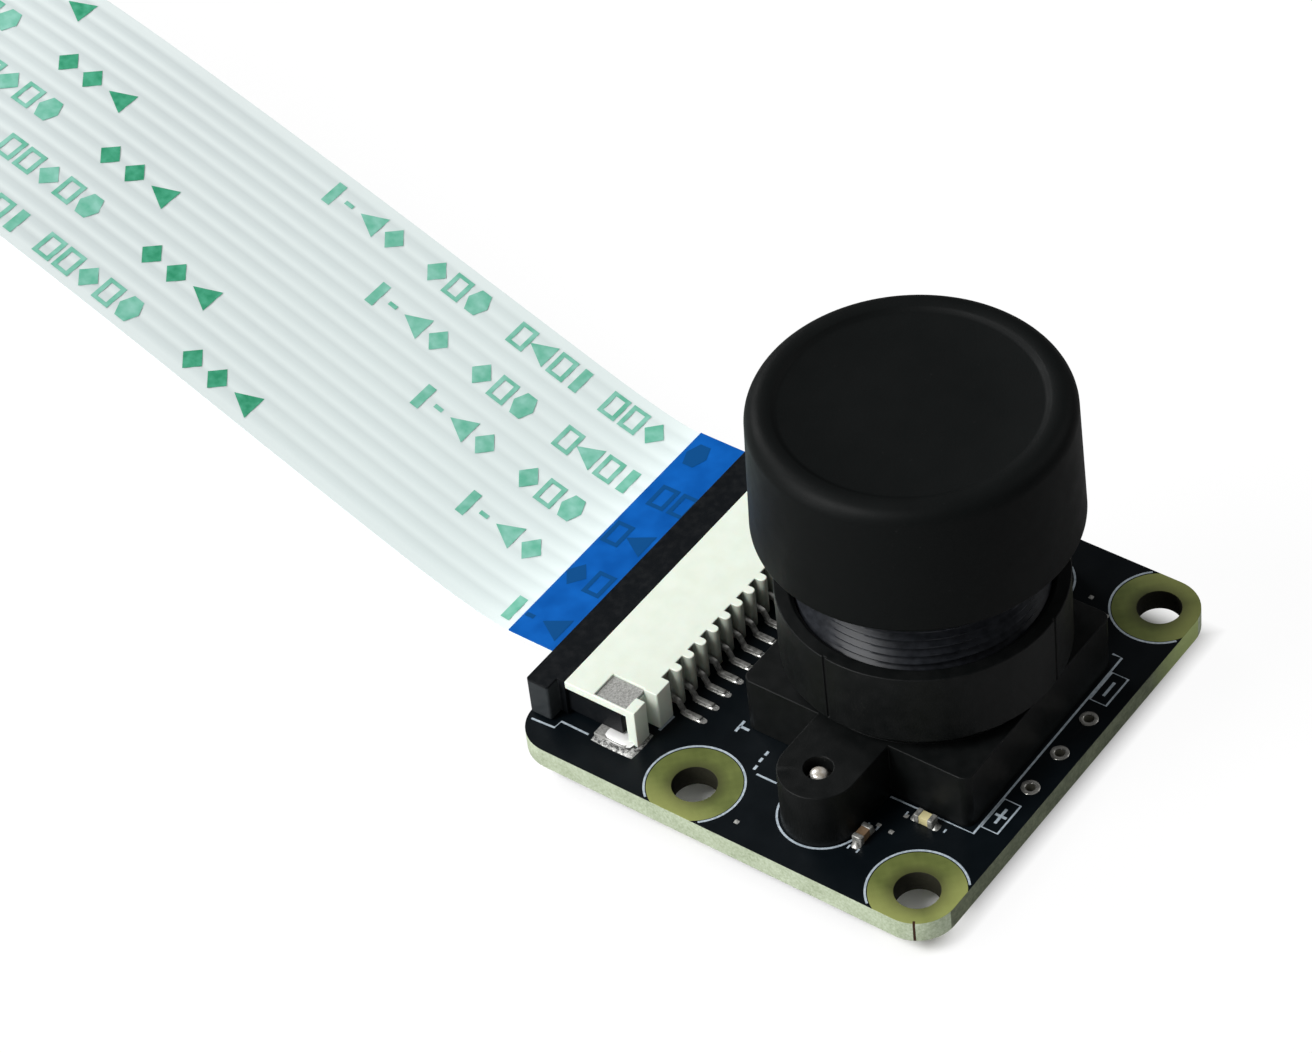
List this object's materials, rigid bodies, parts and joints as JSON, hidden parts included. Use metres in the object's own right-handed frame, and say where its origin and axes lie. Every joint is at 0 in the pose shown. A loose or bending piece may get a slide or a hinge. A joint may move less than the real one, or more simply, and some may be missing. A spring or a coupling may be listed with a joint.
{
  "type": "board camera module",
  "caption": "Small square circuit board with a screw-in lens in a round plastic holder, a push-on lens cap and a slide-latch connector holding a white flat cable.",
  "frame": {"origin": "centre of the four board holes, which is the lens axis, on the underside of the board", "axes": "+Z along the lens axis out of the lens, +Y towards the connector and the flat cable, +X along the connector"},
  "size_m": [0.025, 0.1617, 0.0215],
  "materials": {
    "board_laminate": "black solder mask over glass laminate",
    "tinned_metal": "bright tin",
    "sensor_ceramic": "matt ceramic",
    "silicon": "polished silicon",
    "cover_glass": "clear glass",
    "filter_glass": "pale blue-green glass",
    "holder_plastic": "fine matt mould texture",
    "screw_steel": "bright zinc",
    "lens_metal": "black anodised metal",
    "lens_glass": "coated glass",
    "cap_plastic": "soft matt plastic",
    "connector_ivory": "satin moulded plastic",
    "latch_plastic": "satin black plastic",
    "cable_film": "glossy white film",
    "stiffener_blue": "glossy blue film",
    "capacitor_ceramic": "tan ceramic with tinned ends",
    "resistor_black": "black film with tinned ends",
    "chip_plastic": "moulded black plastic"
  },
  "bodies": {
    "board": {"circuit_board": "board_laminate", "wire_eyelets": "tinned_metal", "sensor_tray": "sensor_ceramic", "sensor_die": "silicon", "sensor_glass": "cover_glass", "lens_holder": "holder_plastic", "ir_filter": "filter_glass", "holder_screws": "screw_steel", "connector_housing": "connector_ivory", "connector_contacts": "tinned_metal", "hold_down_tabs": "tinned_metal", "flat_cable": "cable_film", "near_stiffener": "stiffener_blue", "far_stiffener": "stiffener_blue", "near_strips": "tinned_metal", "far_strips": "tinned_metal", "corner_capacitors": "capacitor_ceramic", "sensor_capacitors": "capacitor_ceramic", "under_capacitors": "capacitor_ceramic", "under_resistors": "resistor_black", "voltage_regulators": "chip_plastic", "clock_oscillator": "chip_plastic"},
    "lens": {"lens_barrel": "lens_metal"},
    "lens_stack": {"rear_glass": "lens_glass", "rear_spacer": "lens_metal", "aperture_stop": "lens_metal", "third_glass": "lens_glass", "middle_spacer": "lens_metal", "second_glass": "lens_glass", "front_spacer": "lens_metal", "front_glass": "lens_glass", "retaining_ring": "lens_metal"},
    "cap": {"lens_cap": "cap_plastic"},
    "latch": {"connector_latch": "latch_plastic"}
  },
  "joints": [
    {"name": "latch_slide", "type": "slide", "parent": "board", "child": "latch", "axis": [0, 1, 0], "range_m": [0, 0.0012]},
    {"name": "focus_slide", "type": "slide", "parent": "board", "child": "lens_stack", "axis": [0, 0, 1], "range_m": [-0.0005, 0.0005]},
    {"name": "focus_turn", "type": "hinge", "parent": "lens_stack", "child": "lens", "pos_m": [0, 0, 0.01], "axis": [0, 0, 1], "range_deg": [-360, 360]},
    {"name": "cap_lift", "type": "slide", "parent": "lens", "child": "cap", "axis": [0, 0, 1], "range_m": [0, 0.012]}
  ],
  "couplings": [
    {"joint": "focus_slide", "follows": "focus_turn", "m_per_rad": 0.000079577}
  ]
}
